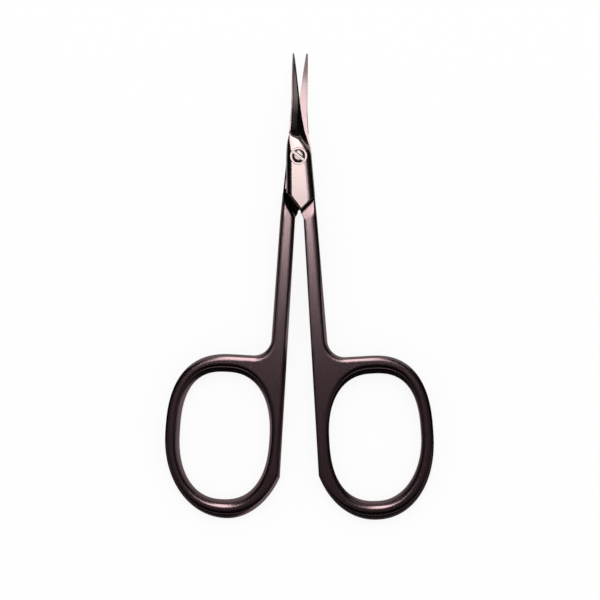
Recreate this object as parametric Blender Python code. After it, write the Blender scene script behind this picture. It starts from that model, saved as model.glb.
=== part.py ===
"""Curved nail scissors: two forged arms that turn on a slotted pivot screw.

Metres. X to the right, +Y to the tips, +Z along the pivot towards the screw's head.
The origin is on the pivot axis, in the flat back of the joint.
Each arm is drawn closed, with its straight inner edge beside the Y axis, as the front arm:
blade half on top of the joint, finger ring at +X. The rear arm is the same form turned half
round the Y axis, with its blade bowed the other way. Both are then opened by half the rest angle.
"""

import math

import bmesh
import bpy
import numpy as np
from mathutils import Matrix, Vector
from mathutils.geometry import tessellate_polygon

MM = 0.001

# How far the scissors stand open at rest, in degrees
REST_OPENING = 6.76

# Lap joint
JOINT_THICKNESS = 3.5 * MM
PLATE_GAP = 0.1 * MM
PIVOT_OFFSET = 0.14 * MM
PLATE_SPINE_SIDES = {"front_arm": 2.56 * MM, "rear_arm": 2.42 * MM}
PLATE_EDGE_SIDE = 2.38 * MM
PLATE_HEEL_EDGE_SIDES = {"front_arm": 2.6 * MM, "rear_arm": 2.75 * MM}
PLATE_SPINE_BEVEL = 0.8 * MM
PLATE_SPINE_DROP = 0.8 * MM
PLATE_EDGE_BEVEL = 1.3 * MM
PLATE_EDGE_WALL = 0.7 * MM
HEEL_START = 7.35 * MM
HEEL_POINT = 10.6 * MM
HEEL_POINT_SIDE = 0.42 * MM
HEEL_EDGE_RISE = 2.7 * MM
HEEL_CHAMFER = 0.3 * MM
NECK = 11.0 * MM
NECK_SIDE = 0.36 * MM
SHOULDER_GAP = 0.14 * MM
GROOVE_WIDTH = 0.8 * MM
GROOVE_DEPTH = 0.55 * MM
GROOVE_BITE = 0.05 * MM

# Blade, from the pivot to the tip
BLADE_LENGTH = 20.2 * MM
BLADE_BOW_RADIUS = 55 * MM
BLADE_BOW_START = 1.0 * MM
BLADE_LEANS = {"front_arm": 0.26 * MM, "rear_arm": 0.38 * MM}
BLADE_TIP_THICKNESS = 0.24 * MM
BLADE_EDGE_LAND = 0.05 * MM
BLADE_SPINE_ROUND = 0.1 * MM
GRIND_STEP = 0.25 * MM
GRIND_RAMP = 0.3 * MM
GRIND_LOW = 0.9 * MM
GRIND_MIDDLE = 3.2 * MM
GRIND_HIGH = 5.15 * MM

# Half width along the blade, as shares of its length and of the plate's half width
BLADE_WIDTH_SHARES = (
    (0.0, 1.0),
    (0.058, 0.945),
    (0.116, 0.855),
    (0.174, 0.74),
    (0.232, 0.602),
    (0.29, 0.525),
    (0.39, 0.41),
    (0.54, 0.303),
    (0.69, 0.222),
    (0.84, 0.143),
    (0.945, 0.075),
    (1.0, 0.03),
)
# Where the flat top ends across the blade, as shares of the grind's height and the plate's half width
GRIND_LINE_SHARES = (
    (0.0, 0.45),
    (0.17, 0.5),
    (0.24, 0.46),
    (0.32, 0.33),
    (0.47, 0.15),
    (0.63, -0.09),
    (0.73, -0.48),
    (0.88, -0.7),
    (1.0, -0.74),
)
# Where the cutting bevel breaks from the ground face, as shares of the length and of the width
EDGE_BREAK_SHARES = (
    (0.0, 0.15),
    (0.15, 0.36),
    (0.28, 0.47),
    (0.36, 0.46),
    (0.44, 0.3),
    (0.52, 0.22),
    (0.7, 0.2),
    (1.0, 0.2),
)
# How much the two ground faces fall across the blade, which with its width sets its thickness
GROUND_SLOPE = 0.25
EDGE_SLOPE = 0.84
PLATE_BREAK_HEIGHT_SHARE = 0.71

# Shank and finger ring
INNER_EDGE_GAP = 0.1 * MM
SHANK_ROOT_WIDTHS = {"front_arm": 2.6 * MM, "rear_arm": 2.87 * MM}
SHANK_END_WIDTH = 3.18 * MM
SHANK_ROOT = 11.95 * MM
TONGUE_TOP = 7.2 * MM
TONGUE_INSET = 0.2 * MM
TONGUE_HEIGHT = 0.55 * MM
HANDLE_ROOT_THICKNESS = 3.06 * MM
HANDLE_END_THICKNESS = 2.85 * MM
OUTER_ROUND = 1.0 * MM
HOLE_ROUND = 1.35 * MM
EDGE_ROUND_HEIGHT = 0.95 * MM
HOLE_CENTRE = 54.95 * MM
HOLE_HALF_WIDTHS = {"front_arm": 8.88 * MM, "rear_arm": 8.68 * MM}
HOLE_HALF_HEIGHT = 12.32 * MM
INNER_WALL = 2.46 * MM
OUTER_WALLS = {"front_arm": 2.4 * MM, "rear_arm": 2.79 * MM}
TOP_WALL = 3.48 * MM
BOTTOM_WALL = 3.61 * MM
RING_MIDDLE_SHIFTS = {"front_arm": 0.34 * MM, "rear_arm": 1.04 * MM}
RING_OVERHANGS = {"front_arm": 1.0 * MM, "rear_arm": 1.35 * MM}
RING_FILLET = 3.4 * MM
# The halves are hand finished: one ring sits a little lower than the other
RING_DROPS = {"front_arm": 0.18 * MM, "rear_arm": -0.18 * MM}

# How square each quarter of the two ovals is: 2 is an ellipse
HOLE_POWERS = {
    "front_arm": {"outer_upper": 2.7, "inner_upper": 2.32, "inner_lower": 2.52, "outer_lower": 2.05},
    "rear_arm": {"outer_upper": 2.7, "inner_upper": 2.32, "inner_lower": 2.42, "outer_lower": 2.24},
}
RING_POWERS = {
    "front_arm": {"inner_lower": 2.08, "outer_lower": 2.15, "outer_upper": 2.57},
    "rear_arm": {"inner_lower": 1.98, "outer_lower": 2.06, "outer_upper": 2.57},
}

# Pivot screw
HEAD_DIAMETER = 2.5 * MM
HEAD_DEPTH = 0.75 * MM
HEAD_DOME = 0.16 * MM
HEAD_RIM_ROUND = 0.14 * MM
SHOULDER_DIAMETER = 1.9 * MM
THREAD_DIAMETER = 1.6 * MM
THREAD_PITCH = 0.35 * MM
THREAD_HEIGHT = 0.12 * MM
THREAD_RUNOUT = 0.3 * MM
SLOT_WIDTH = 0.5 * MM
SLOT_DEPTH = 0.45 * MM
SLOT_ANGLE = -38.4
RUNNING_GAP = 0.06 * MM
RECESS_LIP = 0.3 * MM
RECESS_LIP_DEPTH = 0.08 * MM

# How far a cutter reaches past what it cuts
OVERRUN = 0.5 * MM

# How finely curves are stepped
QUARTER_STEPS = 16
FILLET_STEPS = 6
ROUND_STEPS = 4
STRAIGHT_STEPS = 10
TURN_STEPS = 32

MIDDLE = JOINT_THICKNESS / 2
PLATE_BOTTOM = MIDDLE + PLATE_GAP / 2
PLATE_THICKNESS = JOINT_THICKNESS - PLATE_BOTTOM
HALF_OPENING = math.radians(REST_OPENING / 2)
BOW_SIDES = {"front_arm": 1, "rear_arm": -1}


def clear_scene():
    for old in list(bpy.data.objects):
        bpy.data.objects.remove(old, do_unlink=True)


def make_material(name, colour, roughness, metallic):
    made = bpy.data.materials.new(name)
    made.use_nodes = True
    shader = made.node_tree.nodes["Principled BSDF"]
    shader.inputs["Base Color"].default_value = (*colour, 1)
    shader.inputs["Roughness"].default_value = roughness
    shader.inputs["Metallic"].default_value = metallic
    return made


def add_object(name, mesh):
    made = bpy.data.objects.new(name, mesh)
    bpy.context.scene.collection.objects.link(made)
    return made


def mesh_from(name, points, faces):
    """A mesh of these points and faces, with its faces turned outwards."""
    mesh = bpy.data.meshes.new(name)
    mesh.from_pydata([tuple(point) for point in points], [], faces)
    work = bmesh.new()
    work.from_mesh(mesh)
    bmesh.ops.recalc_face_normals(work, faces=work.faces)
    work.to_mesh(mesh)
    work.free()
    return mesh


def lofted(name, rings):
    """A closed solid through rings of equally many points, with flat ends."""
    count, around = len(rings), len(rings[0])
    faces = [list(range(around)), [(count - 1) * around + i for i in range(around)]]
    for row in range(count - 1):
        for i in range(around):
            j = (i + 1) % around
            faces.append(
                (row * around + i, row * around + j, (row + 1) * around + j, (row + 1) * around + i)
            )
    return mesh_from(name, np.reshape(rings, (-1, 3)), faces)


def prism(name, outline, low, high):
    """An upright prism over an outline."""
    return lofted(name, [[(x, y, z) for x, y in outline] for z in (low, high)])


def boolean(target, cutter_mesh, operation):
    """Applies one Boolean to the target and removes the cutter."""
    cutter = add_object(cutter_mesh.name, cutter_mesh)
    cutter.hide_render = True
    cutter.display_type = "WIRE"
    modifier = target.modifiers.new(operation.lower(), "BOOLEAN")
    modifier.operation = operation
    modifier.object = cutter
    modifier.solver = "EXACT"
    bpy.context.view_layer.update()
    graph = bpy.context.evaluated_depsgraph_get()
    result = bpy.data.meshes.new_from_object(target.evaluated_get(graph))
    target.modifiers.clear()
    target.data = result
    bpy.data.objects.remove(cutter, do_unlink=True)


def through_shares(shares, at):
    """A smooth curve through hand-set shares: cubic, with slopes from the neighbours."""
    places, values = np.array(shares).T
    slopes = np.gradient(values, places)
    i = np.clip(np.searchsorted(places, at, side="right") - 1, 0, len(places) - 2)
    width = places[i + 1] - places[i]
    t = np.clip((at - places[i]) / width, 0, 1)
    return (
        (2 * t**3 - 3 * t**2 + 1) * values[i]
        + (t**3 - 2 * t**2 + t) * width * slopes[i]
        + (3 * t**2 - 2 * t**3) * values[i + 1]
        + (t**3 - t**2) * width * slopes[i + 1]
    )


def eased(value, start, end):
    """0 before start, 1 after end, and a smooth step between them."""
    t = min(max((value - start) / (end - start), 0), 1)
    return t * t * (3 - 2 * t)


# The blade and its half of the joint


def blade_bow(y):
    """How far the blade has bent from its plane at y."""
    past = max(y - BLADE_BOW_START, 0)
    return BLADE_BOW_RADIUS - math.sqrt(BLADE_BOW_RADIUS**2 - past**2)


def blade_sides(y, name):
    """The spine's and the cutting edge's x at y. Both blades lean the same way, from the pivot's line."""
    if y <= 0:
        down = min(-y / HEEL_START, 1)
        widening = PLATE_HEEL_EDGE_SIDES[name] - PLATE_EDGE_SIDE
        return -PLATE_SPINE_SIDES[name], PLATE_EDGE_SIDE + widening * down
    share = float(through_shares(BLADE_WIDTH_SHARES, y / BLADE_LENGTH))
    back_in_line = PIVOT_OFFSET * eased(y, 0, GRIND_MIDDLE)
    lean = BOW_SIDES[name] * (BLADE_LEANS[name] * y / BLADE_LENGTH - back_in_line)
    return lean - PLATE_SPINE_SIDES[name] * share, lean + PLATE_EDGE_SIDE * share


def grind_line(y, edge):
    """Where the flat top ends across the blade at y: an ogee from the edge side over to the spine."""
    if y <= 0:
        return edge - PLATE_EDGE_BEVEL
    return PLATE_EDGE_SIDE * float(through_shares(GRIND_LINE_SHARES, y / GRIND_HIGH))


def blade_ring(y, name):
    """The closed outline of the blade's or the plate's section at y, from the cutting edge round."""
    spine, edge = blade_sides(y, name)
    width = edge - spine
    broken = float(through_shares(EDGE_BREAK_SHARES, max(y, 0) / BLADE_LENGTH))
    edge_fall, ground_fall = EDGE_SLOPE * broken * width, GROUND_SLOPE * (1 - broken) * width
    thickness = min(max(BLADE_EDGE_LAND + edge_fall + ground_fall, BLADE_TIP_THICKNESS), PLATE_THICKNESS)
    to_blade = eased(y, 0, GRIND_HIGH)
    wall = PLATE_EDGE_WALL + (BLADE_EDGE_LAND - PLATE_EDGE_WALL) * to_blade
    spine_round = PLATE_SPINE_BEVEL + (BLADE_SPINE_ROUND - PLATE_SPINE_BEVEL) * to_blade
    spine_round = min(spine_round, width / 4)
    spine_drop = PLATE_SPINE_DROP + (BLADE_SPINE_ROUND - PLATE_SPINE_DROP) * to_blade
    spine_drop = min(spine_drop, thickness / 2)
    share = (thickness - BLADE_TIP_THICKNESS) / (PLATE_THICKNESS - BLADE_TIP_THICKNESS)
    ground = thickness - GRIND_STEP * eased(y, GRIND_LOW, GRIND_MIDDLE) * share
    break_x = edge - broken * width
    high = edge_fall / (edge_fall + ground_fall)
    high = PLATE_BREAK_HEIGHT_SHARE + (high - PLATE_BREAK_HEIGHT_SHARE) * to_blade
    break_z = wall + (thickness - wall) * high
    flat_end = min(grind_line(y, edge), break_x - GRIND_RAMP * share)
    flat_end = max(flat_end, spine + spine_round)
    ramp_end = flat_end + min(GRIND_RAMP * to_blade, (break_x - flat_end) / 2)
    along = (ramp_end - spine) / (break_x - spine)
    ramp_z = min(ground + (break_z - ground) * along, thickness)
    turn = math.sqrt(0.5)
    points = (
        (edge, 0),
        (edge, wall),
        (break_x, break_z),
        (ramp_end, ramp_z),
        (flat_end, thickness),
        (spine + spine_round, thickness),
        (spine + spine_round * (1 - turn), thickness - spine_drop * (1 - turn)),
        (spine, thickness - spine_drop),
        (spine, 0),
    )
    return [(x, y, PLATE_BOTTOM + z - BOW_SIDES[name] * blade_bow(y)) for x, z in points]


def blade_stations():
    """Where sections are taken, close together across the grind line."""
    heel = np.linspace(-NECK - OVERRUN, 0, 5)[:-1]
    grind = np.linspace(0, GRIND_HIGH, 26)
    blade = np.linspace(GRIND_HIGH, BLADE_LENGTH, 15)[1:]
    return np.concatenate([heel, grind, blade])


# The shank and its finger ring


def oval_quarter(centre, half, power, start, end):
    """Points of a superellipse from one angle to another, both in degrees."""
    turned = np.radians(np.linspace(start, end, QUARTER_STEPS + 1))
    across, along = np.cos(turned), np.sin(turned)
    x = centre[0] + half[0] * np.sign(across) * np.abs(across) ** (2 / power)
    y = centre[1] + half[1] * np.sign(along) * np.abs(along) ** (2 / power)
    return list(zip(x.tolist(), y.tolist()))


def hole_frame(name):
    half = (HOLE_HALF_WIDTHS[name], HOLE_HALF_HEIGHT)
    return (INNER_EDGE_GAP + INNER_WALL + half[0], -HOLE_CENTRE - RING_DROPS[name]), half


def ring_frame(name):
    """The ring's centre, and its half widths towards the shank and away from it, and half height."""
    centre, half = hole_frame(name)
    right = centre[0] + half[0] + OUTER_WALLS[name]
    top = centre[1] + half[1] + TOP_WALL
    bottom = centre[1] - half[1] - BOTTOM_WALL
    middle = (centre[0] - RING_MIDDLE_SHIFTS[name], (top + bottom) / 2)
    inward = middle[0] - INNER_EDGE_GAP + RING_OVERHANGS[name]
    return middle, inward, right - middle[0], (top - bottom) / 2


def hole_outline(name):
    centre, half = hole_frame(name)
    quarters = (("outer_upper", 0), ("inner_upper", 90), ("inner_lower", 180), ("outer_lower", 270))
    points = []
    for quarter, start in quarters:
        points += oval_quarter(centre, half, HOLE_POWERS[name][quarter], start, start + 90)[:-1]
    return points


def handle_outline(name):
    """The shank and ring seen from the front, counter-clockwise from the heel's corner."""
    centre, inward, outward, tall = ring_frame(name)
    outer_root = INNER_EDGE_GAP + SHANK_ROOT_WIDTHS[name]
    outer_end = INNER_EDGE_GAP + SHANK_END_WIDTH
    powers = RING_POWERS[name]
    met = ((centre[0] - INNER_EDGE_GAP) / inward) ** (powers["inner_lower"] / 2)
    meeting = 180 + math.degrees(math.acos(min(met, 1)))
    lower = oval_quarter(centre, (inward, tall), powers["inner_lower"], meeting, 270)
    straight = [
        (INNER_EDGE_GAP, y) for y in np.linspace(-SHANK_ROOT, lower[0][1], STRAIGHT_STEPS + 1)[:-1]
    ]
    fillet_centre = (outer_end + RING_FILLET, centre[1] + tall + RING_FILLET)
    turned = np.radians(np.linspace(270, 180, FILLET_STEPS + 1))
    fillet = [
        (fillet_centre[0] + RING_FILLET * math.cos(a), fillet_centre[1] + RING_FILLET * math.sin(a))
        for a in turned
    ]
    outer = [
        (outer_end + (outer_root - outer_end) * t, fillet_centre[1] * (1 - t) - SHANK_ROOT * t)
        for t in np.linspace(0, 1, STRAIGHT_STEPS // 2 + 1)[1:]
    ]
    half = (outward, tall)
    return (
        [(-NECK_SIDE, -NECK)]
        + straight
        + lower[:-1]
        + oval_quarter(centre, half, powers["outer_lower"], 270, 360)[:-1]
        + oval_quarter(centre, half, powers["outer_upper"], 0, 90)
        + fillet
        + outer
        + [(outer_root - TONGUE_INSET, -TONGUE_TOP), (-NECK_SIDE, -TONGUE_TOP)]
    )


def inset(outline, distance):
    """The outline moved to its left by a distance, with mitred corners."""
    points = np.array(outline)
    ahead = np.roll(points, -1, axis=0) - points
    ahead /= np.linalg.norm(ahead, axis=1)[:, None]
    normal = np.stack([-ahead[:, 1], ahead[:, 0]], axis=1)
    before = np.roll(normal, 1, axis=0)
    mitre = (normal + before) / (1 + (normal * before).sum(axis=1))[:, None]
    return points + mitre * distance


def half_thickness(y):
    """Half the handle's thickness at y, thinner towards the ring's end."""
    end = HOLE_CENTRE + HOLE_HALF_HEIGHT + BOTTOM_WALL
    t = np.clip((-y - SHANK_ROOT) / (end - SHANK_ROOT), 0, 1)
    return (HANDLE_ROOT_THICKNESS + (HANDLE_END_THICKNESS - HANDLE_ROOT_THICKNESS) * t) / 2


def rounded_edge(wide):
    """Inset, side and height across a rounded rim of this width, from the front face to the back."""
    turned = np.linspace(0, np.pi / 2, ROUND_STEPS + 1)
    sweep = [(wide * (1 - math.sin(a)), EDGE_ROUND_HEIGHT * (1 - math.cos(a))) for a in turned]
    return [(side, 1, drop) for side, drop in sweep] + [(side, -1, drop) for side, drop in sweep[::-1]]


def handle_mesh(name):
    """A slab over the handle's outline with its finger hole, every rim rounded."""
    points, faces, front, back = [], [], [], []
    rims = ((handle_outline(name), OUTER_ROUND), (hole_outline(name)[::-1], HOLE_ROUND))
    for outline, wide in rims:
        first, around = len(points), len(outline)
        for side, sign, drop in rounded_edge(wide):
            moved = inset(outline, side)
            heights = MIDDLE + sign * (half_thickness(moved[:, 1]) - drop)
            points += np.column_stack([moved, heights]).tolist()
        rows = (len(points) - first) // around
        for row in range(rows - 1):
            for i in range(around):
                j = (i + 1) % around
                a, b = first + row * around, first + (row + 1) * around
                faces.append((a + i, b + i, b + j, a + j))
        front.append(list(range(first, first + around)))
        back.append(list(range(len(points) - around, len(points))))
    for loops in (front, back):
        flat = [index for loop in loops for index in loop]
        corners = [[Vector((points[i][0], points[i][1], 0)) for i in loop] for loop in loops]
        faces += [tuple(flat[i] for i in triangle) for triangle in tessellate_polygon(corners)]
    return mesh_from("handle", points, faces)


# Cuts of the joint


def heel_points(name):
    """A plate's pointed heel: its spine side's corner, its point and its edge side's corner."""
    start = (-PLATE_SPINE_SIDES[name], -HEEL_START)
    point = (-HEEL_POINT_SIDE, -HEEL_POINT)
    far = (PLATE_HEEL_EDGE_SIDES[name], -HEEL_POINT + HEEL_EDGE_RISE)
    return start, point, far


def beyond(a, b, distance):
    """The point a distance past b on the line from a."""
    way = Vector(b) - Vector(a)
    return tuple(Vector(b) + way.normalized() * distance)


def plate_trim(name):
    """What is cut from the plate's end, to leave its pointed heel."""
    start, point, far = heel_points(name)
    outside = beyond(point, start, HEEL_START)
    far = beyond(point, far, OVERRUN)
    low = -NECK - SHANK_ROOT
    return [outside, start, point, far, (far[0], low), (outside[0], low)]


def tongue_trim(name):
    """The part of the handle that reaches over the heel's edge into the plate."""
    _, point, far = heel_points(name)
    way = (Vector(far) - Vector(point)).normalized()
    into = Vector((-way.y, way.x)) * GROOVE_BITE / 2
    outside = Vector(point) + into - way * HEEL_START
    far = Vector(far) + into + way * OVERRUN
    return [(outside.x, 0), tuple(outside), tuple(far), (far.x, 0)]


def pocket_outline(other):
    """Room for the other arm's plate and neck, with the shoulder's gap round them."""
    start, point, _ = heel_points(other)
    outside = beyond(point, start, HEEL_START)
    neck, root = (-NECK_SIDE, -NECK), (INNER_EDGE_GAP, -SHANK_ROOT)
    wide, top = NECK, BLADE_BOW_START
    outline = [outside, start, neck, root, (wide, root[1]), (wide, top), (outside[0], top)]
    return [(-x, y) for x, y in inset(outline, -SHOULDER_GAP)]


def swept_cutter(name, start, end, section):
    """A cutter with this section of (outward, height) pairs along a level line."""
    way = (Vector(end) - Vector(start)).normalized()
    out = Vector((way.y, -way.x))
    rings = []
    for place in (Vector(start) - way * OVERRUN, Vector(end) + way * OVERRUN):
        rings.append([(place.x + out.x * u, place.y + out.y * u, z) for u, z in section])
    return lofted(name, rings)


def cut_joint(arm, other):
    """The heel's chamfer and groove, and the pocket with its shoulder for the other arm."""
    start, point, far = heel_points(arm.name)
    top = JOINT_THICKNESS
    chamfer = ((-HEEL_CHAMFER, top + OVERRUN), (-HEEL_CHAMFER, top), (0, top - HEEL_CHAMFER))
    chamfer += ((OVERRUN, top - HEEL_CHAMFER), (OVERRUN, top + OVERRUN))
    boolean(arm, swept_cutter("heel_chamfer", start, point, chamfer), "DIFFERENCE")
    deep = MIDDLE + HANDLE_ROOT_THICKNESS / 2 - GROOVE_DEPTH
    groove = ((-GROOVE_BITE, top + OVERRUN), (-GROOVE_BITE, deep), (GROOVE_WIDTH / 4, deep))
    groove += ((GROOVE_WIDTH, top), (GROOVE_WIDTH, top + OVERRUN))
    boolean(arm, swept_cutter("heel_groove", point, far, groove), "DIFFERENCE")
    boolean(arm, prism("pocket", pocket_outline(other), -OVERRUN, PLATE_BOTTOM), "DIFFERENCE")


def turned(name, profile):
    """A solid turned round the pivot from pairs of radius and height, from the foot to the top."""
    angles = np.linspace(0, 2 * math.pi, TURN_STEPS, endpoint=False)
    rings = [[(r * math.cos(a), r * math.sin(a), z) for a in angles] for r, z in profile]
    return lofted(name, rings)


def head_seat():
    return JOINT_THICKNESS - HEAD_DEPTH


def drill_front(arm):
    """The front arm's running hole, head recess and the recess's turned lip."""
    hole = SHOULDER_DIAMETER / 2 + RUNNING_GAP
    recess = HEAD_DIAMETER / 2 + RUNNING_GAP
    seat = head_seat() - RUNNING_GAP
    lip, land = recess + RECESS_LIP, JOINT_THICKNESS - RECESS_LIP_DEPTH
    profile = ((hole, 0), (hole, seat), (recess, seat), (recess, land), (lip, land))
    profile += ((lip + OVERRUN, land + OVERRUN),)
    boolean(arm, turned("front_drill", profile), "DIFFERENCE")


def drill_rear(arm):
    """The rear arm's hole for the thread."""
    thread = THREAD_DIAMETER / 2 + RUNNING_GAP
    profile = ((thread, -OVERRUN), (thread, JOINT_THICKNESS))
    boolean(arm, turned("rear_drill", profile), "DIFFERENCE")


# The pieces


def trimmed_handle(name):
    """The handle with its tongue lowered where it runs inside the plate."""
    handle = add_object("handle", handle_mesh(name))
    low = MIDDLE + TONGUE_HEIGHT
    over_plate = prism("tongue_trim", tongue_trim(name), low, JOINT_THICKNESS + OVERRUN)
    boolean(handle, over_plate, "DIFFERENCE")
    trimmed = handle.data
    bpy.data.objects.remove(handle, do_unlink=True)
    return trimmed


def build_arm(name, other, material):
    """One forging, drawn closed and on top of the joint."""
    rings = [blade_ring(float(y), name) for y in blade_stations()]
    arm = add_object(name, lofted(name, rings))
    boolean(arm, prism("heel_trim", plate_trim(name), 0, JOINT_THICKNESS + OVERRUN), "DIFFERENCE")
    boolean(arm, trimmed_handle(name), "UNION")
    cut_joint(arm, other)
    arm.data.transform(Matrix.Translation((BOW_SIDES[name] * PIVOT_OFFSET, 0, 0)))
    arm.data.materials.clear()
    arm.data.materials.append(material)
    return arm


def finish_mesh(item, turn):
    """Turns the mesh into its rest place, keeps its origin on the pivot and shades it."""
    item.data.name = item.name
    item.data.transform(turn)
    item.data.shade_smooth()
    item.data.set_sharp_from_angle(angle=math.radians(22))


def build_front_arm():
    material = make_material("front_arm_bronzed_steel", (0.16, 0.11, 0.105), 0.28, 1)
    arm = build_arm("front_arm", "rear_arm", material)
    drill_front(arm)
    finish_mesh(arm, Matrix.Rotation(HALF_OPENING, 4, "Z"))
    return arm


def build_rear_arm():
    material = make_material("rear_arm_bronzed_steel", (0.16, 0.11, 0.105), 0.28, 1)
    arm = build_arm("rear_arm", "front_arm", material)
    about_joint = Matrix.Translation((0, 0, JOINT_THICKNESS)) @ Matrix.Rotation(math.pi, 4, "Y")
    arm.data.transform(about_joint)
    drill_rear(arm)
    finish_mesh(arm, Matrix.Rotation(-HALF_OPENING, 4, "Z"))
    return arm


def thread_rings():
    """The threaded foot: its radius rises and falls once a turn along the pitch."""
    thread_top = PLATE_BOTTOM - PLATE_GAP - THREAD_RUNOUT
    steps = math.ceil(thread_top / THREAD_PITCH * 5)
    crest = THREAD_DIAMETER / 2
    angles = np.linspace(0, 2 * math.pi, TURN_STEPS, endpoint=False)
    rings = []
    for z in np.linspace(0, thread_top, steps + 1):
        turn = z / THREAD_PITCH - angles / (2 * math.pi)
        dip = np.abs(2 * (turn % 1) - 1)
        fade = min(z / THREAD_RUNOUT, (thread_top - z) / THREAD_RUNOUT, 1)
        radius = crest - THREAD_HEIGHT * (1 - (1 - dip) * fade)
        rings.append(np.column_stack([radius * np.cos(angles), radius * np.sin(angles), angles * 0 + z]))
    return rings


def build_pivot_screw():
    """Slotted head, shoulder and thread in one piece, its foot level with the joint's back."""
    neck = THREAD_DIAMETER / 2 - THREAD_HEIGHT
    shoulder = SHOULDER_DIAMETER / 2
    head = HEAD_DIAMETER / 2
    seat = head_seat()
    rim = JOINT_THICKNESS
    angles = np.linspace(0, 2 * math.pi, TURN_STEPS, endpoint=False)
    profile = [(neck, PLATE_BOTTOM), (shoulder, PLATE_BOTTOM), (shoulder, seat), (head, seat)]
    for a in np.linspace(0, math.pi / 2, ROUND_STEPS):
        drop = HEAD_RIM_ROUND * (1 - math.sin(a))
        profile.append((head - HEAD_RIM_ROUND * (1 - math.cos(a)), rim - drop))
    inner = head - HEAD_RIM_ROUND
    for t in (0.75, 0.5, 0.25):
        profile.append((inner * t, rim + HEAD_DOME * (1 - t * t)))
    rings = thread_rings()
    for r, z in profile:
        rings.append(np.column_stack([r * np.cos(angles), r * np.sin(angles), angles * 0 + z]))
    screw = add_object("pivot_screw", lofted("pivot_screw", np.array(rings)))
    floor = rim + HEAD_DOME - SLOT_DEPTH
    slot = ((-SLOT_WIDTH / 2, floor), (SLOT_WIDTH / 2, floor))
    slot += ((SLOT_WIDTH / 2, rim + HEAD_DOME + OVERRUN), (-SLOT_WIDTH / 2, rim + HEAD_DOME + OVERRUN))
    along = Vector((head, 0))
    boolean(screw, swept_cutter("slot", -along, along, slot), "DIFFERENCE")
    screw.data.materials.clear()
    screw.data.materials.append(make_material("pivot_screw_bright_steel", (0.62, 0.57, 0.52), 0.25, 1))
    finish_mesh(screw, Matrix.Rotation(math.radians(SLOT_ANGLE), 4, "Z"))
    return screw


clear_scene()
build_front_arm()
build_rear_arm()
build_pivot_screw()
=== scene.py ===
# Curved nail scissors: the looks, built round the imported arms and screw.
# Metres, in the frame of the joint: +Y to the tips, +Z towards the screw's head.
import math
import bmesh
import bpy
import numpy as np
from mathutils import Matrix
from mathutils.geometry import tessellate_polygon


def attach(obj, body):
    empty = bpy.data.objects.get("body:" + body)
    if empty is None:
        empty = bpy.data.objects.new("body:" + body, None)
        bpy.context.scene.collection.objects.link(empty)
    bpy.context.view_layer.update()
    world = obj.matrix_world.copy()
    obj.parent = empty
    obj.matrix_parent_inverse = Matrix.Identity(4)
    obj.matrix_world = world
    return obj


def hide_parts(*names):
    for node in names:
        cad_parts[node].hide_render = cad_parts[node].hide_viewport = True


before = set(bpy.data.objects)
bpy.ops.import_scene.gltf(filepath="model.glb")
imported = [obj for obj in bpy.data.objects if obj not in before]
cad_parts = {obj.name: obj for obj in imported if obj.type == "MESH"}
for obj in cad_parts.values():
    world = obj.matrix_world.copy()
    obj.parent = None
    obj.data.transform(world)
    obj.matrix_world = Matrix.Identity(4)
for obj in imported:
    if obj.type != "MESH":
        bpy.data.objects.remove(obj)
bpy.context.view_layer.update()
print("frame loaded:", sorted(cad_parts))

mm = 0.001

# The joint, shared by both arms. Each arm is drawn closed, as the front one, then turned to rest.
joint = {
    "thickness": 3.5 * mm,
    "plateBottom": 1.8 * mm,
    "plateGap": 0.1 * mm,
    "halfOpening": math.radians(3.38),
    "pivotOffset": 0.14 * mm,
    # An edge is a crease above this angle, and a face is level where its normal's upright part is
    # above this
    "sharpAbove": math.radians(14),
    "levelAbove": 0.9999,
    # How far a cutter stands out of what it cuts
    "cutPast": 1 * mm,
}


def toRest(points, side):
    # Drawn place to rest place: shifted off the pivot, turned over for the rear arm, then opened.
    shifted = points + np.array([side * joint["pivotOffset"], 0, 0])
    if side < 0:
        shifted = shifted * np.array([-1, 1, -1]) + np.array([0, 0, joint["thickness"]])
    turn = side * joint["halfOpening"]
    c, s = math.cos(turn), math.sin(turn)
    return shifted @ np.array([[c, -s, 0], [s, c, 0], [0, 0, 1]]).T


def makeMesh(name, points, faces):
    # A mesh from an array of points and a list of faces, turned to face outwards.
    mesh = bpy.data.meshes.new(name)
    mesh.from_pydata(points.tolist(), [], faces)
    work = bmesh.new()
    work.from_mesh(mesh)
    bmesh.ops.recalc_face_normals(work, faces=work.faces)
    work.to_mesh(mesh)
    work.free()
    return mesh


def gridFaces(rows, around, first=0):
    # Quads between neighbouring rows of a closed loop, as one index array.
    row, i = np.meshgrid(np.arange(rows - 1), np.arange(around), indexing="ij")
    a = first + row * around + i
    b = first + row * around + (i + 1) % around
    return np.stack([a, b, b + around, a + around], axis=-1).reshape(-1, 4).tolist()


def loftMesh(name, grid):
    # A closed solid through a grid of sections, with a flat face at each end.
    rows, around = grid.shape[:2]
    faces = gridFaces(rows, around)
    faces += [list(range(around)), list(range((rows - 1) * around, rows * around))]
    return makeMesh(name, grid.reshape(-1, 3), faces)


def addPiece(name, mesh):
    # An object at the origin, unturned, with its place in its mesh.
    piece = bpy.data.objects.new(name, mesh)
    bpy.context.scene.collection.objects.link(piece)
    return piece


def carve(piece, cutters):
    # Takes each cutter's solid away from the piece, exactly, and removes the cutter.
    for cutterMesh in cutters:
        cutter = addPiece(cutterMesh.name, cutterMesh)
        modifier = piece.modifiers.new("carve", "BOOLEAN")
        modifier.operation = "DIFFERENCE"
        modifier.solver = "EXACT"
        modifier.object = cutter
        bpy.context.view_layer.update()
        graph = bpy.context.evaluated_depsgraph_get()
        carved = bpy.data.meshes.new_from_object(piece.evaluated_get(graph))
        piece.modifiers.clear()
        piece.data = carved
        bpy.data.objects.remove(cutter, do_unlink=True)


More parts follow.
